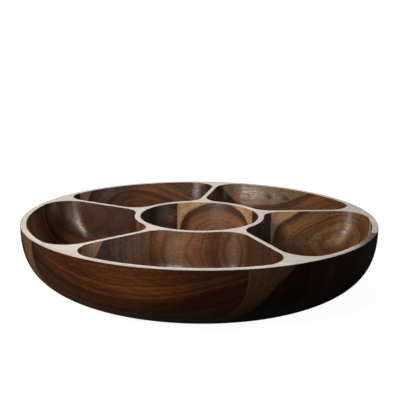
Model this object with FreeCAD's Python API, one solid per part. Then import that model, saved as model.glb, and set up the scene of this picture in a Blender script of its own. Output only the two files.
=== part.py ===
"""Round wooden chip and dip server, turned and carved from an edge-glued blank of three boards.

Frame: millimetres, +Z up, origin at the centre of the base, -Y towards the front.
"""

import FreeCAD
import Part
from FreeCAD import Vector
import math
import os

# --- Driving dimensions -------------------------------------------------------------------

OUTER_DIAMETER = 356.0        # across the rim
HEIGHT = 64.0                 # base to top plane
BASE_DIAMETER = 201.0         # flat that the server rests on
RIM_WALL = 6.0                # wood between a compartment and the outside, at the top
FLOOR_THICKNESS = 11.0        # wood under the compartments

COMPARTMENTS = 5              # around the well
DIVIDER_THICKNESS = 5.0
DIVIDER_OFFSET = 13.3         # each divider's centreline passes this far to the left of the centre
FIRST_DIVIDER_ANGLE = 5.55    # degrees, anticlockwise from +X
OUTER_CORNER_RADIUS = 26.0    # compartment corners at the rim
INNER_CORNER_RADIUS = 23.0    # compartment corners at the well
FLOOR_RADIUS = 22.0           # dividers and well wall curve into the compartment floor
OUTER_WALL_RUN = 54.0         # how far in from the rim the outer wall curves before it is floor

WELL_DIAMETER = 120.0         # central dip well
WELL_WALL = 6.0
WELL_FLOOR_THICKNESS = 14.0
WELL_FLOOR_RADIUS = 18.0

ARRIS = 0.6                   # broken edge between the top plane and every wall

BOARD_ANGLE = 158.0           # degrees, the direction the boards and their grain run
FRONT_JOINT = -146.0          # glue joints, measured across the boards from the centre
BACK_JOINT = 41.7
GLUE_THICKNESS = 0.15

# --- Shape constants ----------------------------------------------------------------------

OUTSIDE_POWERS = (2.6, 2.75)  # superellipse powers, across and down: the outside of the bowl
INSIDE_POWERS = (2.2, 2.4)    # the same for the outer wall of the compartments
PROFILE_SPANS = 14            # spans of the outside curve
WALL_SECTIONS = 5             # compartment sections down the upright part of its walls
FLOOR_SECTIONS = 6            # compartment sections round the curve into its floor
SMALLEST_RADIUS = 1.0         # least corner left at the bottom of a compartment
CUT_ABOVE = 4.0               # cutters reach this far above the top plane

# --- Derived sizes ------------------------------------------------------------------------

outer_radius = OUTER_DIAMETER / 2
base_radius = BASE_DIAMETER / 2
rim_inside_radius = outer_radius - RIM_WALL
compartment_depth = HEIGHT - FLOOR_THICKNESS
well_radius = WELL_DIAMETER / 2
well_depth = HEIGHT - WELL_FLOOR_THICKNESS
ring_radius = well_radius + WELL_WALL
corner_radius = min(OUTER_CORNER_RADIUS, INNER_CORNER_RADIUS)
floor_radius = min(FLOOR_RADIUS, corner_radius - SMALLEST_RADIUS, compartment_depth)
well_floor_radius = min(WELL_FLOOR_RADIUS, well_radius - SMALLEST_RADIUS, well_depth)
upright_depth = compartment_depth - floor_radius


def polar(degrees, radius=1.0):
    """Point at this angle and radius on the ground plane."""
    angle = math.radians(degrees)
    return Vector(radius * math.cos(angle), radius * math.sin(angle), 0)


def superellipse(share, powers):
    """Across and down parts, 1 to 0 and 0 to 1, of a quarter superellipse."""
    across, down = powers
    angle = share * math.pi / 2
    return max(math.cos(angle), 0) ** (2 / across), math.sin(angle) ** (2 / down)


# --- Turned blank -------------------------------------------------------------------------

def turned_blank():
    """Outside of the bowl, solid through, with its top arris."""
    points = []
    for span in range(PROFILE_SPANS + 1):
        across, down = superellipse(span / PROFILE_SPANS, OUTSIDE_POWERS)
        radius = base_radius + (outer_radius - base_radius) * across
        points.append(Vector(radius, 0, HEIGHT * (1 - down)))
    points[0].z = HEIGHT - ARRIS
    side = Part.BSplineCurve()
    side.interpolate(Points=points, InitialTangent=Vector(0, 0, -1), FinalTangent=Vector(-1, 0, 0))
    rim = Vector(outer_radius - ARRIS, 0, HEIGHT)
    top_centre = Vector(0, 0, HEIGHT)
    base_centre = Vector(0, 0, 0)
    profile = Part.Wire([
        Part.makeLine(top_centre, rim),
        Part.makeLine(rim, points[0]),
        side.toShape(),
        Part.makeLine(points[-1], base_centre),
        Part.makeLine(base_centre, top_centre),
    ])
    return Part.Face(profile).revolve(base_centre, Vector(0, 0, 1), 360)


# --- Compartments -------------------------------------------------------------------------

def arc(centre, start, end):
    """Edge from start to end round centre, the short way."""
    towards = (start - centre) + (end - centre)
    middle = centre + towards.normalize() * (start - centre).Length
    return Part.Arc(start, middle, end).toShape()


def corner(direction, normal, wall, side, corner_size, arc_radius, inside):
    """Centre, wall point and arc point of a corner between a divider and a round wall.

    The divider's face lies where normal . p = wall, and the compartment is on its positive or
    negative side. The round wall is about the well's axis and the corner is inside or outside it.
    """
    reach = arc_radius - corner_size if inside else arc_radius + corner_size
    across = wall + side * corner_size
    centre = normal * across + direction * math.sqrt(reach ** 2 - across ** 2)
    on_wall = centre - normal * side * corner_size
    on_arc = centre * (arc_radius / reach)
    return centre, on_wall, on_arc


def compartment_outline(rim_radius, inset, height):
    """Closed outline of one compartment at one height, its walls moved in by inset."""
    first = FIRST_DIVIDER_ANGLE
    second = FIRST_DIVIDER_ANGLE + 360 / COMPARTMENTS
    half = DIVIDER_THICKNESS / 2
    well_side = ring_radius + inset
    rim_corner = OUTER_CORNER_RADIUS - inset
    well_corner = INNER_CORNER_RADIUS - inset
    right = (polar(first), polar(first + 90), DIVIDER_OFFSET + half + inset, 1)
    left = (polar(second), polar(second + 90), DIVIDER_OFFSET - half - inset, -1)
    right_out = corner(*right, rim_corner, rim_radius, True)
    left_out = corner(*left, rim_corner, rim_radius, True)
    right_in = corner(*right, well_corner, well_side, False)
    left_in = corner(*left, well_corner, well_side, False)
    axis = Vector(0, 0, 0)
    edges = [
        Part.makeLine(right_in[1], right_out[1]),
        arc(right_out[0], right_out[1], right_out[2]),
        arc(axis, right_out[2], left_out[2]),
        arc(left_out[0], left_out[2], left_out[1]),
        Part.makeLine(left_out[1], left_in[1]),
        arc(left_in[0], left_in[1], left_in[2]),
        arc(axis, left_in[2], right_in[2]),
        arc(right_in[0], right_in[2], right_in[1]),
    ]
    outline = Part.Wire(edges)
    outline.translate(Vector(0, 0, height))
    return outline


def outer_wall_radius(depth):
    """Radius of the compartments' outer wall at this depth below the top plane."""
    across, down = INSIDE_POWERS
    share = max(1 - (depth / compartment_depth) ** down, 0) ** (1 / across)
    return rim_inside_radius - OUTER_WALL_RUN * (1 - share)


def compartment_cutter():
    """The first compartment's hollow: upright dividers, curved outer wall, rounded floor."""
    levels = []
    for step in range(WALL_SECTIONS):
        levels.append((ARRIS + (upright_depth - ARRIS) * step / WALL_SECTIONS, 0))
    for step in range(FLOOR_SECTIONS + 1):
        turn = step / FLOOR_SECTIONS * math.pi / 2
        depth = upright_depth + floor_radius * math.sin(turn)
        levels.append((depth, floor_radius * (1 - math.cos(turn))))
    sections = []
    for depth, inset in levels:
        sections.append(compartment_outline(outer_wall_radius(depth), inset, HEIGHT - depth))
    hollow = Part.makeLoft(sections, True, False)
    return hollow.fuse([mouth_cutter()]).removeSplitter()


def mouth_cutter():
    """Straight mouth above the hollow, flared where it meets the top plane to leave the arris."""
    below = compartment_outline(outer_wall_radius(ARRIS), 0, HEIGHT - ARRIS)
    at_top = compartment_outline(outer_wall_radius(0) + ARRIS, -ARRIS, HEIGHT)
    above = compartment_outline(outer_wall_radius(0) + ARRIS, -ARRIS, HEIGHT + CUT_ABOVE)
    return Part.makeLoft([below, at_top, above], True, True)


def well_cutter():
    """Hollow of the dip well, with its rounded floor and flared mouth."""
    floor = HEIGHT - well_depth
    top = HEIGHT + CUT_ABOVE
    flat = well_radius - well_floor_radius
    centre = Vector(flat, 0, floor + well_floor_radius)
    floor_edge = Vector(flat, 0, floor)
    wall_foot = Vector(well_radius, 0, centre.z)
    outline = [Vector(well_radius, 0, HEIGHT - ARRIS), Vector(well_radius + ARRIS, 0, HEIGHT)]
    outline += [Vector(well_radius + ARRIS, 0, top), Vector(0, 0, top), Vector(0, 0, floor)]
    profile = Part.Wire([
        arc(centre, floor_edge, wall_foot),
        Part.makeLine(wall_foot, outline[0]),
        Part.makePolygon(outline),
        Part.makeLine(outline[-1], floor_edge),
    ])
    return Part.Face(profile).revolve(Vector(0, 0, 0), Vector(0, 0, 1), 360)


def carved_server():
    """Turned blank with the well and every compartment cut into its top."""
    first = compartment_cutter()
    cutters = [well_cutter()]
    for number in range(COMPARTMENTS):
        turned = first.copy()
        turned.rotate(Vector(0, 0, 0), Vector(0, 0, 1), 360 / COMPARTMENTS * number)
        cutters.append(turned)
    return turned_blank().cut(cutters)


# --- Boards and glue joints ---------------------------------------------------------------

def slab(low, high):
    """Everything between two offsets across the boards."""
    reach = 2 * outer_radius
    box = Part.makeBox(2 * reach, high - low, HEIGHT, Vector(-reach, low, 0))
    box.rotate(Vector(0, 0, 0), Vector(0, 0, 1), BOARD_ANGLE - 180)
    return box


def write_node(name, shape):
    """One STEP file per piece."""
    solids = shape.Solids
    piece = solids[0] if len(solids) == 1 else Part.makeCompound(solids)
    piece.exportStep(f"parts/{name}.step")
    print(f"{name}: {len(solids)} solid, {piece.Volume / 1000:.1f} cm3, valid {piece.isValid()}")


os.makedirs("parts", exist_ok=True)
server = carved_server()
half_glue = GLUE_THICKNESS / 2
pieces = {
    "board_front": (-outer_radius, FRONT_JOINT - half_glue),
    "glue_line_front": (FRONT_JOINT - half_glue, FRONT_JOINT + half_glue),
    "board_middle": (FRONT_JOINT + half_glue, BACK_JOINT - half_glue),
    "glue_line_back": (BACK_JOINT - half_glue, BACK_JOINT + half_glue),
    "board_back": (BACK_JOINT + half_glue, outer_radius),
}
for name, (low, high) in pieces.items():
    write_node(name, server.common(slab(low, high)))
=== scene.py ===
"""Looks of a carved wooden chip and dip server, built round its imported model.

Laid out as an add-on and run as a script. Lengths are metres, +Z is up, the origin is the centre
of the base and -Y is the front.
"""

import math

import bmesh
import bpy
from bpy.props import FloatProperty, FloatVectorProperty, IntProperty, PointerProperty
from mathutils import Matrix, Vector


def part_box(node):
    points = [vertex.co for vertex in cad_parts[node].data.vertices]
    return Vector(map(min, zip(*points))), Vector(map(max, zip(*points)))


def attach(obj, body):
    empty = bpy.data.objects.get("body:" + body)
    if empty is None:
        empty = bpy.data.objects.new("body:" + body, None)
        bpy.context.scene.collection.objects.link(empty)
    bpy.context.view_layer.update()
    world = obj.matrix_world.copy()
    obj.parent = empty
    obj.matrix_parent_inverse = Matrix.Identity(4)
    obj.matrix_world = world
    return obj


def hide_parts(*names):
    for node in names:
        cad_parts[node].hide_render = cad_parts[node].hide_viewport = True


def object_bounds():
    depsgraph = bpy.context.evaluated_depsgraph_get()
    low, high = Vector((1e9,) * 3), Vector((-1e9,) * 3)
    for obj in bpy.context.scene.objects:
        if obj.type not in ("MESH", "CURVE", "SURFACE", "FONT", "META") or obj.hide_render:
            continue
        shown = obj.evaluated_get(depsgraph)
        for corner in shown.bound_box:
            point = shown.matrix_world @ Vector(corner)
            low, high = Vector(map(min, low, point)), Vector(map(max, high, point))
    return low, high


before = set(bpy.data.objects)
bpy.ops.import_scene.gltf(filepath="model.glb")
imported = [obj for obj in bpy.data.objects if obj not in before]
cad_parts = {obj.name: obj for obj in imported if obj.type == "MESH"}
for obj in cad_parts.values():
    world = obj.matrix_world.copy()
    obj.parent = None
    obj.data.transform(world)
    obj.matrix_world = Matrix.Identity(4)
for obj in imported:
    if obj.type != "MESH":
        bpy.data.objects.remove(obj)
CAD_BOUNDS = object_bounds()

bl_info = {
    "name": "Chip and Dip Server",
    "version": (1, 0, 0),
    "blender": (4, 5, 0),
    "location": "View3D > Sidebar > Server",
    "description": "Carved wooden serving bowl with a dip well and five compartments",
    "category": "Add Mesh",
}

BODY = "root"
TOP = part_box("board_middle")[1][2]
RIM = max(CAD_BOUNDS[1][0], CAD_BOUNDS[1][1])

# --- Fixed facts of the shape and the boards ------------------------------------------------

OUTSIDE_POWERS = (2.6, 2.75)      # superellipse powers, across and down: outside of the bowl
INSIDE_POWERS = (2.2, 2.4)        # the same for the outer wall of the compartments
GRAIN_TURN = math.radians(22)     # brings the run of the boards on to X
GLUE = 0.00015                    # thickness of a glue joint
JOINTS = (-0.146, 0.0417)         # glue joints, across the boards from the centre
WELD = 1e-6                       # points nearer than this are one point
SHARPEST = math.radians(35)       # edges that turn more than this stay sharp
BUMP_DEPTH = 0.0003               # depth of the grain that the light shows
WALL_LEAN = 1800.0                # relief gained for each metre down a carved wall
LEFT_STRETCH = (-0.12, -0.05)     # along the boards, where the painted light and shade of the left end give way to those of the middle
RIGHT_STRETCH = (0.0, 0.10)       # and where those of the middle give way to those of the right end
GLUE_GLARE = 0.8                  # share of the painted glare that is also painted on the top of a glue joint

# Camera: its place in rim radii from the middle of the top plane, and how it is turned
CAMERA_PLACE = (0.0026, -3.9445, 0.9796)
CAMERA_PITCH = math.radians(12.72)
CAMERA_ROLL = math.radians(0.547)
FLOOR_REACH = 6.0                 # how far the floor goes each way from the centre

# Curve resolution: points along each stretch of a compartment's outline, and down its walls
STRAIGHT_STEPS = 26
RIM_CORNER_STEPS = 18
RIM_ARC_STEPS = 64
WELL_CORNER_STEPS = 18
WELL_ARC_STEPS = 26
ARRIS_STEPS = 4
WALL_STEPS = 8
FLOOR_STEPS = 16
OUTSIDE_STEPS = 44
ROUND_STEPS = 360                 # round the rim and the well


# --- Sizes and finishes a user would change --------------------------------------------------

def length(name, description, default):
    return FloatProperty(name=name, description=description, default=default, unit="LENGTH", precision=4)


def colour(name, description, default):
    return FloatVectorProperty(
        name=name, description=description, default=default, size=3, min=0, max=1, subtype="COLOR")


class ServerSizes(bpy.types.PropertyGroup):
    """Sizes of the carved server."""
    rim_radius: length("Rim radius", "From the centre to the outside of the rim", RIM)
    height: length("Height", "From the base to the top plane", TOP)
    base_radius: length("Base radius", "Flat that the server rests on", 0.1005)
    rim_wall: length("Rim wall", "Wood between a compartment and the outside", 0.006)
    floor: length("Floor", "Wood under the compartments", 0.011)
    dividers: IntProperty(name="Dividers", description="Walls round the well", default=5, min=3, max=8)
    divider: length("Divider thickness", "Across a divider", 0.005)
    divider_offset: length("Divider offset", "How far left of the centre a divider's line passes", 0.0133)
    divider_angle: FloatProperty(
        name="Divider angle", description="Direction of the first divider", default=math.radians(5.55),
        subtype="ANGLE")
    rim_corner: length("Rim corner", "Radius of a compartment's corners at the rim", 0.026)
    well_corner: length("Well corner", "Radius of a compartment's corners at the well", 0.023)
    floor_curve: length("Floor curve", "Radius where dividers meet the floor", 0.022)
    wall_run: length("Outer wall run", "How far in from the rim the outer wall curves", 0.054)
    well_radius: length("Well radius", "Inside of the dip well", 0.060)
    well_wall: length("Well wall", "Thickness of the ring round the well", 0.006)
    well_floor: length("Well floor", "Wood under the dip well", 0.014)
    well_curve: length("Well curve", "Radius where the well meets its floor", 0.018)
    arris: length("Arris", "Rounding of the edges of the top plane", 0.0006)


class WoodFinish(bpy.types.PropertyGroup):
    """Colours and sheen of the wood, with painted glare on the top plane and painted shade on the outside."""
    heart_dark: colour("Dark heartwood", "Dark bands of the heartwood", (0.038, 0.0125, 0.0046))
    heart_middle: colour("Heartwood", "Most of the heartwood", (0.113, 0.0460, 0.0160))
    heart_light: colour("Light heartwood", "Golden bands of the heartwood", (0.212, 0.100, 0.037))
    sapwood: colour("Sapwood", "Pale outer wood of the tree", (0.31, 0.192, 0.102))
    # Painted shade: the outside is darkened to stand in for the little light that reached it.
    outside: colour("Outside", "Painted shade that darkens the outside", (0.34, 0.26, 0.19))
    # Painted reflection: the pale top plane is the glare of its lacquer, painted into the colour.
    painted_glare: colour("Painted top glare", "Glare of the lacquered top plane, painted into its colour", (0.62, 0.575, 0.54))
    glare_cover: FloatProperty(
        name="Lime cover", description="How much of the top plane the painted glare covers", default=0.80,
        min=0, max=1, subtype="FACTOR")
    roughness: FloatProperty(
        name="Roughness", description="Sheen of the lacquer", default=0.37, min=0, max=1, subtype="FACTOR")


class StageSettings(bpy.types.PropertyGroup):
    """Camera, lights and floor."""
    focal_length: FloatProperty(
        name="Focal length", description="Lens of the camera in millimetres", default=63.67, min=10, max=300)
    floor_colour: colour("Floor", "Plain pale floor", (0.18, 0.18, 0.18))
    floor_glow: FloatProperty(
        name="Floor glow", description="How pale the floor stays in shadow", default=0.95, min=0, max=1)
    key_power: FloatProperty(name="Key power", description="Main light in front, from the left", default=20.0)
    back_power: FloatProperty(name="Back power", description="Soft light high behind", default=15.0)
    front_power: FloatProperty(name="Front power", description="Fill light in front", default=3.5)
    left_power: FloatProperty(name="Left power", description="Weak low light on the left", default=1.2)
    right_power: FloatProperty(
        name="Right power", description="Weak low cool light on the right", default=2.5)
    room_light: FloatProperty(name="Room light", description="Even light of the room", default=0.05)


# --- Outlines ---------------------------------------------------------------------------------

def polar(angle, radius=1.0):
    return Vector((radius * math.cos(angle), radius * math.sin(angle)))


def straight(start, end, steps):
    """Points from start towards end, the last left out."""
    return [start.lerp(end, step / steps) for step in range(steps)]


def bend(centre, start, end, steps):
    """Points from start towards end round centre, the short way, the last left out."""
    spoke = start - centre
    turn = spoke.angle_signed(end - centre)
    return [centre + Matrix.Rotation(-turn * step / steps, 2) @ spoke for step in range(steps)]


def corner(divider, wall, side, size, round_radius, inside):
    """Centre, divider point and round-wall point of a compartment's corner."""
    direction, normal = divider
    reach = round_radius - size if inside else round_radius + size
    across = wall + side * size
    centre = normal * across + direction * math.sqrt(reach ** 2 - across ** 2)
    return centre, centre - normal * side * size, centre * (round_radius / reach)


def compartment_outline(sizes, rim_radius, inset):
    """Points round the first compartment at one height, its walls moved in by inset."""
    first = sizes.divider_angle
    second = first + 2 * math.pi / sizes.dividers
    right = (polar(first), polar(first + math.pi / 2))
    left = (polar(second), polar(second + math.pi / 2))
    right_wall = sizes.divider_offset + sizes.divider / 2 + inset
    left_wall = sizes.divider_offset - sizes.divider / 2 - inset
    well_side = sizes.well_radius + sizes.well_wall + inset
    rim_corner = sizes.rim_corner - inset
    well_corner = sizes.well_corner - inset
    right_out = corner(right, right_wall, 1, rim_corner, rim_radius, True)
    left_out = corner(left, left_wall, -1, rim_corner, rim_radius, True)
    right_in = corner(right, right_wall, 1, well_corner, well_side, False)
    left_in = corner(left, left_wall, -1, well_corner, well_side, False)
    axis = Vector((0, 0))
    return (
        straight(right_in[1], right_out[1], STRAIGHT_STEPS)
        + bend(right_out[0], right_out[1], right_out[2], RIM_CORNER_STEPS)
        + bend(axis, right_out[2], left_out[2], RIM_ARC_STEPS)
        + bend(left_out[0], left_out[2], left_out[1], RIM_CORNER_STEPS)
        + straight(left_out[1], left_in[1], STRAIGHT_STEPS)
        + bend(left_in[0], left_in[1], left_in[2], WELL_CORNER_STEPS)
        + bend(axis, left_in[2], right_in[2], WELL_ARC_STEPS)
        + bend(right_in[0], right_in[2], right_in[1], WELL_CORNER_STEPS)
    )


def superellipse(share, powers):
    """Across and down parts, 1 to 0 and 0 to 1, of a quarter superellipse."""
    across, down = powers
    angle = share * math.pi / 2
    return max(math.cos(angle), 0) ** (2 / across), math.sin(angle) ** (2 / down)


def arris_levels(arris):
    """Depth and outset of each step of a rounded top edge, from the top plane down."""
    levels = []
    for step in range(ARRIS_STEPS):
        turn = step / ARRIS_STEPS * math.pi / 2
        levels.append((arris * (1 - math.cos(turn)), arris * (1 - math.sin(turn))))
    return levels


def compartment_levels(sizes):
    """Depth, rim radius and inset of each loop of a compartment, from the top down."""
    deep = sizes.height - sizes.floor
    upright = deep - sizes.floor_curve
    rim_inside = sizes.rim_radius - sizes.rim_wall
    across, down = INSIDE_POWERS

    def outer_wall(depth):
        share = max(1 - (depth / deep) ** down, 0) ** (1 / across)
        return rim_inside - sizes.wall_run * (1 - share)

    levels = [(depth, outer_wall(depth) + out, -out) for depth, out in arris_levels(sizes.arris)]
    for step in range(WALL_STEPS):
        depth = sizes.arris + (upright - sizes.arris) * step / WALL_STEPS
        levels.append((depth, outer_wall(depth), 0))
    for step in range(FLOOR_STEPS + 1):
        turn = step / FLOOR_STEPS * math.pi / 2
        depth = upright + sizes.floor_curve * math.sin(turn)
        levels.append((depth, outer_wall(depth), sizes.floor_curve * (1 - math.cos(turn))))
    return levels


# --- Meshes -----------------------------------------------------------------------------------

def add_object(name, mesh):
    piece = bpy.data.objects.new(name, mesh)
    bpy.context.scene.collection.objects.link(piece)
    return piece


def loops_to_mesh(name, loops):
    """Skin of quads between closed loops of as many points each, with the last loop filled."""
    count = len(loops[0])
    points = [point for loop in loops for point in loop]
    faces = []
    for level in range(len(loops) - 1):
        for here in range(count):
            ahead = (here + 1) % count
            top, low = level * count, (level + 1) * count
            faces.append((top + here, top + ahead, low + ahead, low + here))
    bottom = (len(loops) - 1) * count
    faces.append(tuple(range(bottom, bottom + count)))
    mesh = bpy.data.meshes.new(name)
    mesh.from_pydata(points, [], faces)
    return mesh


def hollow_mesh(sizes):
    """Walls and floor of the first compartment."""
    loops = []
    for depth, rim_radius, inset in compartment_levels(sizes):
        outline = compartment_outline(sizes, rim_radius, inset)
        loops.append([(point.x, point.y, sizes.height - depth) for point in outline])
    return loops_to_mesh("hollow", loops)


def profile_mesh(name, points):
    """Chain of points across and up, for the lathe."""
    mesh = bpy.data.meshes.new(name)
    chain = [(here, here + 1) for here in range(len(points) - 1)]
    mesh.from_pydata([(across, 0, up) for across, up in points], chain, [])
    return mesh


def outside_profile(sizes):
    """Outside of the bowl, from the edge of the top plane down to the base."""
    points = []
    for depth, out in arris_levels(sizes.arris):
        points.append((sizes.rim_radius - out, sizes.height - depth))
    for step in range(OUTSIDE_STEPS + 1):
        across, down = superellipse(step / OUTSIDE_STEPS, OUTSIDE_POWERS)
        radius = sizes.base_radius + (sizes.rim_radius - sizes.base_radius) * across
        points.append((radius, (sizes.height - sizes.arris) * (1 - down)))
    return points


def well_profile(sizes):
    """Dip well, from its floor up to the edge of the top plane."""
    flat = sizes.well_radius - sizes.well_curve
    points = []
    for step in range(FLOOR_STEPS + 1):
        turn = step / FLOOR_STEPS * math.pi / 2
        rise = sizes.well_floor + sizes.well_curve * (1 - math.cos(turn))
        points.append((flat + sizes.well_curve * math.sin(turn), rise))
    foot = points[-1][1]
    lip = sizes.height - sizes.arris
    for step in range(1, WALL_STEPS + 1):
        points.append((sizes.well_radius, foot + (lip - foot) * step / WALL_STEPS))
    for depth, out in reversed(arris_levels(sizes.arris)):
        points.append((sizes.well_radius + out, sizes.height - depth))
    return points


# --- Node trees -------------------------------------------------------------------------------

class Sheet:
    """Short calls for laying out one node tree."""

    def __init__(self, tree):
        self.tree = tree

    def add(self, kind, inputs=None, **settings):
        node = self.tree.nodes.new(kind)
        for name, value in settings.items():
            setattr(node, name, value)
        for key, value in (inputs or {}).items():
            self.feed(node.inputs[key], value)
        return node

    def feed(self, socket, value):
        if isinstance(value, bpy.types.NodeSocket):
            self.tree.links.new(value, socket)
        else:
            socket.default_value = value

    def math(self, operation, *values):
        node = self.add("ShaderNodeMath", operation=operation)
        for socket, value in zip(node.inputs, values):
            self.feed(socket, value)
        return node.outputs[0]

    def vector(self, operation, *values):
        node = self.add("ShaderNodeVectorMath", operation=operation)
        for socket, value in zip(node.inputs, values):
            self.feed(socket, value)
        return node.outputs["Value" if operation in ("LENGTH", "DISTANCE") else "Vector"]

    def combine(self, x, y, z):
        return self.add("ShaderNodeCombineXYZ", {"X": x, "Y": y, "Z": z}).outputs[0]

    def separate(self, vector):
        return self.add("ShaderNodeSeparateXYZ", {"Vector": vector}).outputs

    def noise(self, vector, scale=1.0, detail=2.0, roughness=0.5, distortion=0.0, output="Fac"):
        inputs = {"Vector": vector, "Scale": scale, "Detail": detail, "Roughness": roughness}
        return self.add("ShaderNodeTexNoise", {**inputs, "Distortion": distortion}).outputs[output]

    def ramp(self, value, low, high, start=0.0, end=1.0):
        """Value smoothly carried from low..high to start..end and held there."""
        inputs = {"Value": value, "From Min": low, "From Max": high, "To Min": start, "To Max": end}
        return self.add("ShaderNodeMapRange", inputs, interpolation_type="SMOOTHSTEP").outputs[0]

    def mix(self, factor, first, second, blend="MIX"):
        node = self.add("ShaderNodeMix", data_type="RGBA", blend_type=blend, clamp_factor=True)
        self.feed(node.inputs[0], factor)
        self.feed(node.inputs[6], first)
        self.feed(node.inputs[7], second)
        return node.outputs[2]


SOCKETS = {
    "float": "NodeSocketFloat", "int": "NodeSocketInt", "vector": "NodeSocketVector",
    "color": "NodeSocketColor", "geometry": "NodeSocketGeometry", "material": "NodeSocketMaterial",
}


def new_group(name, kind, inputs, outputs):
    """Node group with named sockets, and its sheet, input node and output node."""
    tree = bpy.data.node_groups.new(name, kind)
    for names, way in ((inputs, "INPUT"), (outputs, "OUTPUT")):
        for socket_name, socket_kind in names.items():
            tree.interface.new_socket(name=socket_name, in_out=way, socket_type=SOCKETS[socket_kind])
    sheet = Sheet(tree)
    return tree, sheet, tree.nodes.new("NodeGroupInput").outputs, tree.nodes.new("NodeGroupOutput").inputs


def finish_tree(sheet, geometry, material, output):
    """The end of every geometry tree: real geometry with its material."""
    real = sheet.add("GeometryNodeRealizeInstances", {"Geometry": geometry}).outputs[0]
    done = sheet.add("GeometryNodeSetMaterial", {"Geometry": real, "Material": material}).outputs[0]
    sheet.feed(output, done)


def lathe_tree():
    """Turns a chain of points, across and up, round the Z axis."""
    tree, sheet, given, result = new_group(
        "Lathe", "GeometryNodeTree",
        {"Profile": "geometry", "Segments": "int", "Weld": "float", "Material": "material"},
        {"Geometry": "geometry"})
    size = sheet.add("GeometryNodeAttributeDomainSize", {"Geometry": given["Profile"]}, component="MESH")
    rings = size.outputs["Point Count"]
    around = sheet.math("ADD", given["Segments"], 1)
    grid = sheet.add("GeometryNodeMeshGrid", {"Vertices X": around, "Vertices Y": rings})
    index = sheet.add("GeometryNodeInputIndex").outputs[0]
    row = sheet.math("MODULO", index, rings)
    column = sheet.math("FLOOR", sheet.math("DIVIDE", index, rings))
    turn = sheet.math("DIVIDE", sheet.math("MULTIPLY", column, 2 * math.pi), given["Segments"])
    position = sheet.add("GeometryNodeInputPosition").outputs[0]
    sample = sheet.add("GeometryNodeSampleIndex", data_type="FLOAT_VECTOR", domain="POINT")
    sheet.feed(sample.inputs["Geometry"], given["Profile"])
    sheet.feed(sample.inputs["Value"], position)
    sheet.feed(sample.inputs["Index"], row)
    point = sheet.separate(sample.outputs["Value"])
    x = sheet.math("MULTIPLY", point["X"], sheet.math("COSINE", turn))
    y = sheet.math("MULTIPLY", point["X"], sheet.math("SINE", turn))
    place = sheet.combine(x, y, point["Z"])
    placed = sheet.add("GeometryNodeSetPosition", {"Geometry": grid.outputs["Mesh"], "Position": place})
    near = {"Geometry": placed.outputs[0], "Distance": given["Weld"]}
    welded = sheet.add("GeometryNodeMergeByDistance", near)
    finish_tree(sheet, welded.outputs[0], given["Material"], result["Geometry"])
    return tree


def round_well_tree():
    """Repeats a piece round the Z axis."""
    tree, sheet, given, result = new_group(
        "Repeat Round Well", "GeometryNodeTree",
        {"Piece": "geometry", "Count": "int", "Material": "material"}, {"Geometry": "geometry"})
    points = sheet.add("GeometryNodePoints", {"Count": given["Count"]}).outputs[0]
    index = sheet.add("GeometryNodeInputIndex").outputs[0]
    turn = sheet.math("DIVIDE", sheet.math("MULTIPLY", index, 2 * math.pi), given["Count"])
    copies = sheet.add("GeometryNodeInstanceOnPoints", {"Points": points, "Instance": given["Piece"]})
    rotation = sheet.add("FunctionNodeEulerToRotation", {0: sheet.combine(0, 0, turn)}).outputs[0]
    sheet.feed(copies.inputs["Rotation"], rotation)
    finish_tree(sheet, copies.outputs[0], given["Material"], result["Geometry"])
    return tree


def run_tree(mesh, tree, values):
    """Plain mesh that the tree makes from mesh with these inputs."""
    worker = add_object(mesh.name, mesh)
    modifier = worker.modifiers.new(tree.name, "NODES")
    modifier.node_group = tree
    for item in tree.interface.items_tree:
        if item.in_out == "INPUT" and item.name in values:
            modifier[item.identifier] = values[item.name]
    evaluated = worker.evaluated_get(bpy.context.evaluated_depsgraph_get())
    made = bpy.data.meshes.new_from_object(evaluated)
    bpy.data.objects.remove(worker)
    return made


# --- Boards -----------------------------------------------------------------------------------

def carved_server(sizes, material):
    """Whole server as one closed mesh."""
    lathe = lathe_tree()
    turned = {"Segments": ROUND_STEPS, "Weld": WELD, "Material": material}
    outside = run_tree(profile_mesh("outside", outside_profile(sizes)), lathe, turned)
    well = run_tree(profile_mesh("well", well_profile(sizes)), lathe, turned)
    repeat = {"Count": sizes.dividers, "Material": material}
    hollows = run_tree(hollow_mesh(sizes), round_well_tree(), repeat)
    server = bmesh.new()
    for mesh in (outside, well, hollows):
        server.from_mesh(mesh)
    bmesh.ops.remove_doubles(server, verts=server.verts, dist=WELD)
    top = [edge for edge in server.edges if edge.is_boundary and on_level(edge, sizes.height)]
    bmesh.ops.triangle_fill(server, use_beauty=True, edges=top, normal=(0, 0, 1))
    bmesh.ops.holes_fill(server, edges=[edge for edge in server.edges if edge.is_boundary], sides=0)
    wide = [face for face in server.faces if len(face.verts) > 4]
    bmesh.ops.triangulate(server, faces=wide)
    bmesh.ops.recalc_face_normals(server, faces=server.faces)
    stop_if_open(server, "carved server")
    return server


def on_level(edge, height):
    return all(abs(point.co.z - height) < WELD for point in edge.verts)


def stop_if_open(mesh, name):
    loose = sum(not edge.is_manifold for edge in mesh.edges)
    if loose:
        raise RuntimeError(f"{name} is not closed: {loose} open edges")


def sawn_board(server, name, low, high):
    """The part of the server between two offsets across the boards, closed where it is sawn."""
    board = server.copy()
    across = Vector((math.sin(GRAIN_TURN), math.cos(GRAIN_TURN), 0))
    for offset, side in ((low, -1), (high, 1)):
        if offset is None:
            continue
        everything = board.verts[:] + board.edges[:] + board.faces[:]
        cut = bmesh.ops.bisect_plane(
            board, geom=everything, dist=WELD / 10, plane_co=across * offset, plane_no=across * side,
            clear_outer=True)
        rim = [piece for piece in cut["geom_cut"] if isinstance(piece, bmesh.types.BMEdge)]
        bmesh.ops.triangle_fill(board, use_beauty=True, edges=rim, normal=across * side)
    bmesh.ops.recalc_face_normals(board, faces=board.faces)
    stop_if_open(board, name)
    mesh = bpy.data.meshes.new(name)
    board.to_mesh(mesh)
    board.free()
    return mesh


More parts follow.
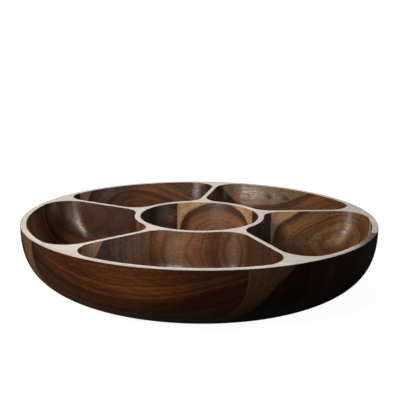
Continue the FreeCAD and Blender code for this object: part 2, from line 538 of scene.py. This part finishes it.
def soften(piece):
    """Smooth shading that keeps flats flat and sawn edges sharp."""
    piece.data.shade_smooth()
    piece.data.set_sharp_from_angle(angle=SHARPEST)
    weighted = piece.modifiers.new("Flats", "WEIGHTED_NORMAL")
    weighted.keep_sharp = True
    evaluated = piece.evaluated_get(bpy.context.evaluated_depsgraph_get())
    finished = bpy.data.meshes.new_from_object(evaluated)
    piece.modifiers.clear()
    piece.data = finished
    finished.name = piece.name


# --- Wood -------------------------------------------------------------------------------------
# Board coordinates: X along the grain, Y across the boards, Z up, in metres from the centre.

class Lumber:
    """One board as it was cut from its log. Places are across the board and up, in metres."""

    def __init__(self, heart_middle, heart_reach, ring_centre, wave, seed, tone, far_sap=1.0, core=0.001,
                 dark_edge=0.72, knots=()):
        self.heart_middle = heart_middle  # middle of the heartwood
        self.heart_reach = heart_reach    # half widths of the heartwood
        self.ring_centre = ring_centre    # what the growth rings go round
        self.wave = wave                  # how far the rings wander
        self.seed = seed                  # moves the figure along the log
        self.tone = tone                  # painted light and shade at the left end, middle and right end, 1 is plain
        self.far_sap = far_sap            # how pale the sapwood on the far side is
        self.core = core                  # radius of the dark middle of the rings
        self.dark_edge = dark_edge        # where the heartwood darkens, 1 is its edge
        self.knots = knots                # centre and radius of each knot


# Each board's tone is painted light and shade: it brightens and darkens the ends and middle as the light fell
# across the server.
LUMBER = {
    "board_front": Lumber(
        heart_middle=(-0.112, -0.022), heart_reach=(0.190, 0.190), ring_centre=(-0.112, -0.022),
        wave=0.0030, seed=3.1, tone=(0.30, 1.50, 0.65)),
    "board_middle": Lumber(
        heart_middle=(-0.0267, 0.016), heart_reach=(0.112, 0.085), ring_centre=(0.035, 0.048),
        wave=0.0020, seed=7.7, tone=(1.15, 1.12, 0.42), core=0.052, dark_edge=0.55),
    "board_back": Lumber(
        heart_middle=(0.1068, 0.016), heart_reach=(0.0641, 0.0712), ring_centre=(0.1068, 0.016),
        wave=0.0026, seed=12.4, tone=(0.8, 1.2, 0.9), far_sap=0.3, dark_edge=0.90,
        knots=(((0.084, 0.149, 0.052), 0.0046), ((0.1035, 0.1365, 0.053), 0.0026))),
}


def rings_group():
    """Heartwood and sapwood, ring bands, fibres and pores of a board cut near its pith."""
    tree, sheet, given, result = new_group(
        "Growth Rings", "ShaderNodeTree",
        {"Board Vector": "vector", "Middle": "vector", "Reach": "vector", "Centre": "vector", "Wave": "float",
         "Seed": "float", "Far Sap": "float", "Core": "float", "Dark Edge": "float", "Knot": "float"},
        {"Sapwood": "float", "Bands": "float", "Lines": "float", "Fibres": "float", "Pores": "float",
         "Shade": "float", "Broad": "float"})
    shift = sheet.combine(given["Seed"], sheet.math("MULTIPLY", given["Seed"], 0.37), 0)
    moved = sheet.vector("ADD", given["Board Vector"], shift)
    stretched = sheet.vector("MULTIPLY", moved, (5, 22, 22))
    wander = sheet.noise(stretched, detail=2.0, output="Color")
    wander = sheet.vector("SUBTRACT", wander, (0.5, 0.5, 0.5))
    stray = sheet.math("MULTIPLY", given["Wave"], 4)
    wander = sheet.vector("MULTIPLY", wander, sheet.combine(stray, stray, stray))
    place = sheet.vector("ADD", given["Board Vector"], wander)
    heart = sheet.vector("DIVIDE", sheet.vector("SUBTRACT", place, given["Middle"]), given["Reach"])
    share = sheet.vector("LENGTH", sheet.vector("MULTIPLY", heart, (0, 1, 1)))
    share = sheet.math("ADD", share, given["Knot"])
    far = sheet.ramp(sheet.separate(heart)["Y"], 0.0, 0.3, 1.0, given["Far Sap"])
    sheet.feed(result["Sapwood"], sheet.math("MULTIPLY", sheet.ramp(share, 0.985, 1.012), far))
    spoke = sheet.vector("MULTIPLY", sheet.vector("SUBTRACT", place, given["Centre"]), (0, 1, 1))
    pull = sheet.math("MULTIPLY", given["Knot"], 0.05)
    radius = sheet.math("ADD", sheet.vector("LENGTH", spoke), pull)
    core = sheet.ramp(radius, sheet.math("MULTIPLY", given["Core"], 0.8), given["Core"], 1.0, 0.0)
    sheet.feed(result["Shade"], sheet.math("MAXIMUM", core, sheet.ramp(share, given["Dark Edge"], 0.96)))
    sheet.feed(result["Broad"], sheet.noise(sheet.vector("MULTIPLY", moved, (7, 16, 16)), detail=1.0))
    spoke = sheet.separate(spoke)
    along = sheet.math("ADD", sheet.separate(place)["X"], given["Seed"])
    across = sheet.math("DIVIDE", spoke["Y"], sheet.math("MAXIMUM", radius, 0.001))
    band_place = sheet.combine(
        sheet.math("MULTIPLY", along, 2.4), sheet.math("MULTIPLY", radius, 105),
        sheet.math("MULTIPLY", across, 0.5))
    sheet.feed(result["Bands"], sheet.noise(band_place, detail=3.0, roughness=0.55, distortion=0.35))
    line_place = sheet.combine(
        sheet.math("MULTIPLY", along, 5), sheet.math("MULTIPLY", radius, 520),
        sheet.math("MULTIPLY", across, 1.5))
    sheet.feed(result["Lines"], sheet.noise(line_place, detail=2.0, roughness=0.6, distortion=0.2))
    fibre_place = sheet.vector("MULTIPLY", moved, (40, 620, 620))
    sheet.feed(result["Fibres"], sheet.noise(fibre_place, detail=3.0, roughness=0.65))
    pore_place = sheet.vector("MULTIPLY", moved, (150, 1900, 1900))
    pores = sheet.noise(pore_place, detail=1.0, roughness=0.5)
    sheet.feed(result["Pores"], sheet.ramp(pores, 0.64, 0.74))
    return tree


def knot_group():
    """Pull on the rings and darkness of one knot."""
    tree, sheet, given, result = new_group(
        "Knot", "ShaderNodeTree", {"Vector": "vector", "Centre": "vector", "Size": "float"},
        {"Pull": "float", "Dark": "float"})
    away = sheet.vector("SUBTRACT", given["Vector"], given["Centre"])
    gap = sheet.vector("LENGTH", sheet.vector("MULTIPLY", away, (1, 1, 1.8)))
    share = sheet.math("DIVIDE", gap, given["Size"])
    swirl = sheet.noise(sheet.vector("MULTIPLY", given["Vector"], (170, 170, 300)), detail=3.0)
    share = sheet.math("ADD", share, sheet.math("MULTIPLY", sheet.math("SUBTRACT", swirl, 0.5), 2.4))
    sheet.feed(result["Pull"], sheet.ramp(share, 0.0, 3.0, -0.14, 0.0))
    heart = sheet.ramp(share, 0.0, 0.60, 0.6, 1.0)
    edge = sheet.ramp(share, 0.30, 1.60, 0.80, 0.0)
    sheet.feed(result["Dark"], sheet.math("MULTIPLY", heart, edge))
    return tree


def outside_group():
    """The outside of the bowl and its base, apart from what is carved into the top."""
    tree, sheet, given, result = new_group(
        "Outside", "ShaderNodeTree",
        {"Vector": "vector", "Rim Radius": "float", "Base Radius": "float", "Height": "float"},
        {"Outside": "float"})
    across, down = OUTSIDE_POWERS
    height = sheet.separate(given["Vector"])["Z"]
    level = sheet.vector("LENGTH", sheet.vector("MULTIPLY", given["Vector"], (1, 1, 0)))
    depth = sheet.math("SUBTRACT", 1, sheet.math("DIVIDE", height, given["Height"]))
    depth = sheet.math("POWER", sheet.math("MAXIMUM", depth, 0.0), down)
    share = sheet.math("POWER", sheet.math("MAXIMUM", sheet.math("SUBTRACT", 1, depth), 0.0), 1 / across)
    spread = sheet.math("SUBTRACT", given["Rim Radius"], given["Base Radius"])
    skin = sheet.math("ADD", given["Base Radius"], sheet.math("MULTIPLY", spread, share))
    side = sheet.ramp(sheet.math("SUBTRACT", level, skin), -0.004, -0.002)
    sheet.feed(result["Outside"], sheet.math("MAXIMUM", side, sheet.ramp(height, 0.001, 0.003, 1.0, 0.0)))
    return tree


def tone_group():
    """Colour and relief of lacquered wood from its rings, fibres and pores, with painted shade on the outside
    and painted light and shade along each board.
    """
    tree, sheet, given, result = new_group(
        "Wood Tone", "ShaderNodeTree",
        {"Sapwood": "float", "Bands": "float", "Lines": "float", "Fibres": "float", "Pores": "float",
         "Shade": "float", "Broad": "float", "Knot": "float", "Outside": "float", "Tone": "float",
         "Dark": "color", "Middle": "color", "Light": "color", "Sap": "color", "Outside Shade": "color"},
        {"Color": "color", "Relief": "float", "Sheen": "float"})
    broad = sheet.math("MULTIPLY", sheet.math("SUBTRACT", given["Broad"], 0.5), 0.85)
    shade = sheet.math("MULTIPLY", given["Shade"], 0.24)
    band = sheet.math("ADD", given["Bands"], sheet.math("SUBTRACT", broad, shade))
    low = sheet.ramp(band, 0.20, 0.52)
    high = sheet.ramp(band, 0.46, 0.84)
    heart = sheet.mix(low, given["Dark"], given["Middle"])
    heart = sheet.mix(high, heart, given["Light"])
    line = sheet.ramp(given["Lines"], 0.32, 0.62)
    line_tone = sheet.mix(line, (0.52, 0.48, 0.45, 1), (1.16, 1.16, 1.16, 1))
    heart = sheet.mix(0.8, heart, line_tone, "MULTIPLY")
    sap_shade = sheet.mix(line, (0.88, 0.84, 0.80, 1), (1.04, 1.04, 1.04, 1))
    sap = sheet.mix(1.0, given["Sap"], sap_shade, "MULTIPLY")
    wood = sheet.mix(given["Sapwood"], heart, sap)
    fibre = sheet.ramp(given["Fibres"], 0.28, 0.72)
    fibre_tone = sheet.mix(fibre, (0.64, 0.61, 0.58, 1), (1.28, 1.28, 1.28, 1))
    wood = sheet.mix(1.0, wood, fibre_tone, "MULTIPLY")
    pore_tone = sheet.mix(given["Pores"], (1, 1, 1, 1), (0.45, 0.42, 0.40, 1))
    wood = sheet.mix(1.0, wood, pore_tone, "MULTIPLY")
    wood = sheet.mix(given["Knot"], wood, (0.042, 0.019, 0.011, 1))
    # Painted shade: the outside of the bowl is darkened by the outside colour.
    wood = sheet.mix(given["Outside"], wood, sheet.mix(1.0, wood, given["Outside Shade"], "MULTIPLY"))
    # Painted light and shade along the board.
    tone = sheet.combine(given["Tone"], given["Tone"], given["Tone"])
    sheet.feed(result["Color"], sheet.mix(1.0, wood, tone, "MULTIPLY"))
    relief = sheet.math("SUBTRACT", sheet.math("MULTIPLY", given["Fibres"], 0.5), given["Pores"])
    sheet.feed(result["Relief"], sheet.math("ADD", relief, sheet.math("MULTIPLY", given["Lines"], 0.3)))
    sheen = sheet.math("MULTIPLY", sheet.math("SUBTRACT", 0.5, given["Fibres"]), 0.50)
    sheet.feed(result["Sheen"], sheet.math("ADD", sheen, sheet.math("MULTIPLY", given["Pores"], 0.2)))
    return tree


def painted_glare_group():
    """Painted glare on the top plane: the pale reflection of the lacquered top, painted into its colour,
    weaker over dark wood and missing in patches.
    """
    tree, sheet, given, result = new_group(
        "Painted Top Glare", "ShaderNodeTree",
        {"Vector": "vector", "Board Vector": "vector", "Color": "color", "Sapwood": "float",
         "Fibres": "float", "Pores": "float", "Top": "float", "Arris": "float", "Cover": "float",
         "Glare Gap": "float", "Lime": "color"},
        {"Color": "color", "Lime": "float"})
    height = sheet.separate(given["Vector"])["Z"]
    start = sheet.math("SUBTRACT", given["Top"], sheet.math("MULTIPLY", given["Arris"], 0.45))
    full = sheet.math("SUBTRACT", given["Top"], sheet.math("MULTIPLY", given["Arris"], 0.1))
    flat = sheet.ramp(height, start, full)
    heart = sheet.math("SUBTRACT", 1, given["Sapwood"])
    cover = sheet.math("SUBTRACT", given["Cover"], sheet.math("MULTIPLY", heart, 0.10))
    cloud_place = sheet.vector("MULTIPLY", given["Board Vector"], (9, 60, 60))
    cloud = sheet.noise(cloud_place, detail=4.0, roughness=0.6)
    cover = sheet.math("ADD", cover, sheet.math("MULTIPLY", sheet.math("SUBTRACT", cloud, 0.5), 0.16))
    cover = sheet.math("SUBTRACT", cover, sheet.math("MULTIPLY", given["Pores"], 0.22))
    fibre = sheet.math("MULTIPLY", sheet.math("SUBTRACT", given["Fibres"], 0.5), 0.22)
    cover = sheet.math("ADD", cover, fibre)
    # Painted glare is thinned in patches here.
    gap_place = sheet.vector("MULTIPLY", given["Board Vector"], (70, 420, 420))
    gap_noise = sheet.noise(gap_place, detail=3.0, roughness=0.7)
    gap_noise = sheet.math("ADD", 0.55, sheet.math("MULTIPLY", gap_noise, 0.5))
    glare_kept = sheet.math("SUBTRACT", 1, sheet.math("MULTIPLY", given["Glare Gap"], gap_noise))
    cover = sheet.math("MULTIPLY", cover, glare_kept)
    mask = sheet.math("MULTIPLY", flat, sheet.math("MAXIMUM", cover, 0.0))
    sheet.feed(result["Color"], sheet.mix(mask, given["Color"], given["Lime"]))
    sheet.feed(result["Lime"], mask)
    return tree


def shared_groups():
    return {
        "rings": rings_group(), "knot": knot_group(), "outside": outside_group(), "tone": tone_group(),
        "painted_glare": painted_glare_group(),
    }


def use_group(sheet, tree, inputs):
    node = sheet.add("ShaderNodeGroup", node_tree=tree)
    for name, value in inputs.items():
        sheet.feed(node.inputs[name], value)
    return node.outputs


def opaque(value):
    return (*value, 1)


def wood_material(name, lumber, groups, finish, sizes):
    """Lacquered wood of one board, with painted glare on its top plane, painted shade on its outside and
    painted light and shade along it.
    """
    material = bpy.data.materials.new(name)
    material.use_nodes = True
    material.node_tree.nodes.clear()
    sheet = Sheet(material.node_tree)
    place = sheet.add("ShaderNodeTexCoord").outputs["Object"]
    turned = sheet.add("ShaderNodeMapping", {"Vector": place, "Rotation": (0, 0, GRAIN_TURN)}).outputs[0]
    pull, dark = 0.0, 0.0
    for centre, size in lumber.knots:
        knot = use_group(sheet, groups["knot"], {"Vector": place, "Centre": centre, "Size": size})
        pull = sheet.math("ADD", knot["Pull"], pull)
        dark = sheet.math("MAXIMUM", knot["Dark"], dark)
    rings = use_group(sheet, groups["rings"], {
        "Board Vector": turned, "Middle": (0, *lumber.heart_middle), "Reach": (1, *lumber.heart_reach),
        "Centre": (0, *lumber.ring_centre), "Wave": lumber.wave, "Seed": lumber.seed,
        "Far Sap": lumber.far_sap, "Core": lumber.core, "Dark Edge": lumber.dark_edge, "Knot": pull})
    skin = use_group(sheet, groups["outside"], {
        "Vector": place, "Rim Radius": sizes.rim_radius, "Base Radius": sizes.base_radius,
        "Height": sizes.height})
    shared = {key: rings[key] for key in ("Sapwood", "Fibres", "Pores")}
    tone = use_group(sheet, groups["tone"], {
        **shared, "Bands": rings["Bands"], "Lines": rings["Lines"], "Shade": rings["Shade"],
        "Broad": rings["Broad"], "Knot": dark, "Outside": skin["Outside"],
        "Tone": painted_light_along(sheet, turned, lumber.tone), "Dark": opaque(finish.heart_dark),
        "Middle": opaque(finish.heart_middle), "Light": opaque(finish.heart_light),
        "Sap": opaque(finish.sapwood), "Outside Shade": opaque(finish.outside)})
    # Painted reflection: the glare of the top plane is painted over the wood's colour.
    with_glare = use_group(sheet, groups["painted_glare"], {
        **shared, "Vector": place, "Board Vector": turned, "Color": tone["Color"], "Top": sizes.height,
        "Arris": sizes.arris, "Cover": finish.glare_cover, "Glare Gap": glare_gap_patch(sheet, turned, rings["Sapwood"]),
        "Lime": opaque(finish.painted_glare)})
    rough = sheet.math("ADD", finish.roughness, tone["Sheen"])
    # Rougher where the glare is painted.
    rough = sheet.math("ADD", rough, sheet.math("MULTIPLY", with_glare["Lime"], 0.30))
    ripple = sheet.noise(sheet.vector("MULTIPLY", turned, (60, 60, 22)), detail=3.0)
    relief = sheet.math("ADD", sheet.math("MULTIPLY", ripple, 6.0), tone["Relief"])
    relief = sheet.math("ADD", relief, wall_lean(sheet, place, skin["Outside"], sizes))
    bump = sheet.add("ShaderNodeBump", {"Height": relief, "Strength": 0.5, "Distance": BUMP_DEPTH})
    shader = sheet.add("ShaderNodeBsdfPrincipled", {
        "Base Color": with_glare["Color"], "Roughness": rough, "Normal": bump.outputs[0], "IOR": 1.46,
        "Specular IOR Level": sheet.ramp(skin["Outside"], 0.0, 1.0, 0.36, 0.20),
        "Coat Weight": sheet.ramp(skin["Outside"], 0.0, 1.0, 0.06, 0.0), "Coat Roughness": 0.25})
    sheet.add("ShaderNodeOutputMaterial", {"Surface": shader.outputs[0]})
    return material


def wall_lean(sheet, place, outside, sizes):
    """Relief that shades the carved walls as if they leaned back a little, as sanded walls do."""
    depth = sheet.math("SUBTRACT", sizes.height, sheet.separate(place)["Z"])
    lean = sheet.math("MULTIPLY", depth, WALL_LEAN)
    return sheet.math("MULTIPLY", lean, sheet.math("SUBTRACT", 1, outside))


def painted_light_along(sheet, board_vector, tone):
    """Painted light and shade that change from the left end of a board to its middle and on to its right end.
    """
    left, middle, right = tone
    along = sheet.separate(board_vector)["X"]
    first = sheet.ramp(along, *LEFT_STRETCH, left, middle)
    return sheet.math("ADD", first, sheet.ramp(along, *RIGHT_STRETCH, 0.0, right - middle))


def glare_gap_patch(sheet, board_vector, sapwood):
    """Where less glare is painted: heartwood of the right rim beside the sapwood, where the top reflected
    less.
    """
    at = sheet.separate(board_vector)
    right = sheet.ramp(at["X"], 0.120, 0.150)
    beside = sheet.ramp(at["Y"], -0.062, -0.030)
    beside = sheet.math("MULTIPLY", beside, sheet.ramp(at["Y"], 0.0025, 0.0055, 1.0, 0.0))
    patch = sheet.math("MULTIPLY", right, beside)
    return sheet.math("MULTIPLY", patch, sheet.math("SUBTRACT", 1, sapwood))


def glue_material(finish, groups, sizes):
    """Cured glue in a joint, brown and faintly mottled, with painted glare over its top edge."""
    material = bpy.data.materials.new("wood_glue")
    material.use_nodes = True
    material.node_tree.nodes.clear()
    sheet = Sheet(material.node_tree)
    place = sheet.add("ShaderNodeTexCoord").outputs["Object"]
    mottle = sheet.noise(place, scale=900, detail=3.0)
    colour_now = sheet.mix(mottle, opaque(finish.heart_dark), opaque(finish.heart_light))
    # Painted reflection: the glare of the top plane goes on over the joint's top edge.
    with_glare = use_group(sheet, groups["painted_glare"], {
        "Vector": place, "Board Vector": place, "Color": colour_now, "Sapwood": 0.0, "Fibres": mottle,
        "Pores": 0.0, "Top": sizes.height, "Arris": sizes.arris, "Cover": finish.glare_cover * GLUE_GLARE,
        "Glare Gap": 0.0, "Lime": opaque(finish.painted_glare)})
    bump = sheet.add("ShaderNodeBump", {"Height": mottle, "Strength": 0.2, "Distance": 0.0001})
    shader = sheet.add("ShaderNodeBsdfPrincipled", {
        "Base Color": with_glare["Color"], "Roughness": sheet.ramp(mottle, 0.2, 0.8, 0.35, 0.55),
        "Normal": bump.outputs[0]})
    sheet.add("ShaderNodeOutputMaterial", {"Surface": shader.outputs[0]})
    return material


# --- Operators --------------------------------------------------------------------------------

class SERVER_OT_boards(bpy.types.Operator):
    """Carve the server and saw it back into its three boards"""
    bl_idname = "server.boards"
    bl_label = "Add Boards"

    def execute(self, context):
        sizes, finish = context.scene.server_sizes, context.scene.server_finish
        groups = shared_groups()
        woods = {name: wood_material(name, wood, groups, finish, sizes) for name, wood in LUMBER.items()}
        server = carved_server(sizes, woods["board_middle"])
        front, back = JOINTS
        cuts = {
            "board_front": (None, front - GLUE / 2),
            "board_middle": (front + GLUE / 2, back - GLUE / 2),
            "board_back": (back + GLUE / 2, None),
        }
        for name, (low, high) in cuts.items():
            mesh = sawn_board(server, name, low, high)
            mesh.materials.clear()
            mesh.materials.append(woods[name])
            piece = add_object(name + "_carved", mesh)
            soften(piece)
            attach(piece, BODY)
            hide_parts(name)
        server.free()
        return {"FINISHED"}


class SERVER_OT_glue(bpy.types.Operator):
    """Give the glue joints their finish"""
    bl_idname = "server.glue"
    bl_label = "Finish Glue Joints"

    def execute(self, context):
        groups = {"painted_glare": bpy.data.node_groups["Painted Top Glare"]}
        glue = glue_material(context.scene.server_finish, groups, context.scene.server_sizes)
        for name in ("glue_line_front", "glue_line_back"):
            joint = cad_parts[name]
            for slot in joint.material_slots:
                slot.material = glue
        return {"FINISHED"}


class SERVER_OT_stage(bpy.types.Operator):
    """Add the floor, lights and camera"""
    bl_idname = "server.stage"
    bl_label = "Add Stage"

    def execute(self, context):
        settings = context.scene.server_stage
        add_floor(settings)
        add_room(context.scene, settings)
        add_lights(settings)
        add_camera(context.scene, settings, context.scene.server_sizes)
        return {"FINISHED"}


def add_floor(settings):
    """Wide plain floor that looks pale but throws little light, least on its right side."""
    floor_mesh = bpy.data.meshes.new("floor")
    corners = [(x * FLOOR_REACH, y * FLOOR_REACH, 0) for x, y in ((-1, -1), (1, -1), (1, 1), (-1, 1))]
    floor_mesh.from_pydata(corners, [], [(0, 1, 2, 3)])
    floor = add_object("floor", floor_mesh)
    material = bpy.data.materials.new("floor")
    material.use_nodes = True
    material.node_tree.nodes.clear()
    sheet = Sheet(material.node_tree)
    place = sheet.add("ShaderNodeTexCoord").outputs["Object"]
    right = sheet.ramp(sheet.separate(place)["X"], -0.35, 0.20)
    bounce = sheet.mix(right, (0.10, 0.098, 0.095, 1), (0.05, 0.05, 0.05, 1))
    far = sheet.ramp(sheet.vector("LENGTH", place), 0.25, 1.3, settings.floor_glow, 1.0)
    glow = sheet.add("ShaderNodeEmission", {"Strength": far}).outputs[0]
    pale = sheet.add("ShaderNodeBsdfDiffuse", {"Color": opaque(settings.floor_colour)}).outputs[0]
    pale = sheet.add("ShaderNodeAddShader", {0: pale, 1: glow}).outputs[0]
    dim = sheet.add("ShaderNodeBsdfDiffuse", {"Color": bounce}).outputs[0]
    seen = sheet.add("ShaderNodeLightPath").outputs["Is Camera Ray"]
    both = sheet.add("ShaderNodeMixShader", {0: seen, 1: dim, 2: pale}).outputs[0]
    sheet.add("ShaderNodeOutputMaterial", {"Surface": both})
    floor_mesh.materials.append(material)


def add_room(scene, settings):
    """White room behind everything, dimmer as a light than it looks."""
    world = bpy.data.worlds.new("room")
    world.use_nodes = True
    world.node_tree.nodes.clear()
    sheet = Sheet(world.node_tree)
    seen = sheet.add("ShaderNodeLightPath").outputs["Is Camera Ray"]
    white = sheet.add("ShaderNodeBackground", {"Color": (1, 1, 1, 1), "Strength": 1.0}).outputs[0]
    light = {"Color": (1, 1, 1, 1), "Strength": settings.room_light}
    room = sheet.add("ShaderNodeBackground", light).outputs[0]
    both = sheet.add("ShaderNodeMixShader", {0: seen, 1: room, 2: white}).outputs[0]
    sheet.add("ShaderNodeOutputWorld", {"Surface": both})
    scene.world = world
    scene.view_settings.view_transform = "Standard"


def add_lights(settings):
    """Soft lights aimed at the server.

    Each has its turn left from the front and its rise, in degrees, its distance, size, power and tint.
    """
    lights = {
        "key": ((40, 34, 1.4), 0.35, settings.key_power, (1.0, 0.94, 0.84)),
        "back": ((172, 36, 1.6), 0.9, settings.back_power, (1.0, 1.0, 1.0)),
        "front": ((354, 30, 1.6), 0.4, settings.front_power, (1.0, 0.92, 0.83)),
        "left": ((82, 17, 1.6), 0.4, settings.left_power, (1.0, 0.98, 0.95)),
        "right": ((285, 18, 1.6), 0.4, settings.right_power, (0.88, 0.94, 1.0)),
    }
    for name, ((turn, rise, distance), size, power, tint) in lights.items():
        data = bpy.data.lights.new(name, "AREA")
        data.size = size
        data.energy = power
        data.color = tint
        turn, rise = math.radians(turn), math.radians(rise)
        level = distance * math.cos(rise)
        place = (-level * math.sin(turn), -level * math.cos(turn), distance * math.sin(rise))
        light = bpy.data.objects.new(name, data)
        light.location = place
        light.rotation_euler = (-Vector(place)).to_track_quat("-Z", "Y").to_euler()
        bpy.context.scene.collection.objects.link(light)


def add_camera(scene, settings, sizes):
    """Low view from the front."""
    data = bpy.data.cameras.new("camera")
    data.lens = settings.focal_length
    data.sensor_width = 36
    camera = bpy.data.objects.new("camera", data)
    turn = Matrix.Rotation(math.pi / 2 - CAMERA_PITCH, 4, "X") @ Matrix.Rotation(CAMERA_ROLL, 4, "Z")
    place = Vector(CAMERA_PLACE) * sizes.rim_radius + Vector((0, 0, sizes.height))
    camera.matrix_world = Matrix.Translation(place) @ turn
    scene.collection.objects.link(camera)
    scene.camera = camera


class SERVER_PT_panel(bpy.types.Panel):
    """Sizes, finish and steps of the server"""
    bl_label = "Chip and Dip Server"
    bl_idname = "SERVER_PT_panel"
    bl_space_type = "VIEW_3D"
    bl_region_type = "UI"
    bl_category = "Server"

    def draw(self, context):
        scene = context.scene
        for settings in (scene.server_sizes, scene.server_finish, scene.server_stage):
            box = self.layout.box()
            for name in settings.__annotations__:
                box.prop(settings, name)
        for step in STEPS:
            self.layout.operator(step.bl_idname)


STEPS = (SERVER_OT_boards, SERVER_OT_glue, SERVER_OT_stage)
CLASSES = (ServerSizes, WoodFinish, StageSettings, *STEPS, SERVER_PT_panel)


def register():
    for piece in CLASSES:
        bpy.utils.register_class(piece)
    bpy.types.Scene.server_sizes = PointerProperty(type=ServerSizes)
    bpy.types.Scene.server_finish = PointerProperty(type=WoodFinish)
    bpy.types.Scene.server_stage = PointerProperty(type=StageSettings)


def unregister():
    del bpy.types.Scene.server_stage
    del bpy.types.Scene.server_finish
    del bpy.types.Scene.server_sizes
    for piece in reversed(CLASSES):
        bpy.utils.unregister_class(piece)


def main():
    register()
    bpy.ops.server.boards()
    bpy.ops.server.glue()
    bpy.ops.server.stage()


if __name__ == "__main__":
    main()
